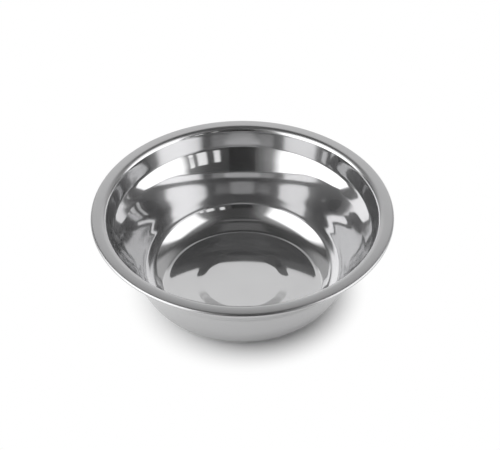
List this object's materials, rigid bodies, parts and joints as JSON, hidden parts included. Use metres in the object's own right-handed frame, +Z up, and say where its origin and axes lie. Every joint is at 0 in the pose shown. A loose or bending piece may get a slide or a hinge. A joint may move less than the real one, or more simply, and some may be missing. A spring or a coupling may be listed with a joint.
{
  "type": "metal pet bowl",
  "caption": "Round stainless steel pet bowl with a sloping polished wall, a flat hemmed rim and a raised disc in the floor, which holds food or water on the floor or in a stand.",
  "frame": {"origin": "centre of the base, on the surface that the bowl stands on", "axes": "+Z up along the bowl's axis, from the base to the rim; X and Y are alike, because the bowl is round"},
  "size_m": [0.2, 0.2, 0.065],
  "materials": {
    "polished_steel": "polished"
  },
  "bodies": {
    "root": {"bowl_pressing": "polished_steel"}
  },
  "joints": []
}
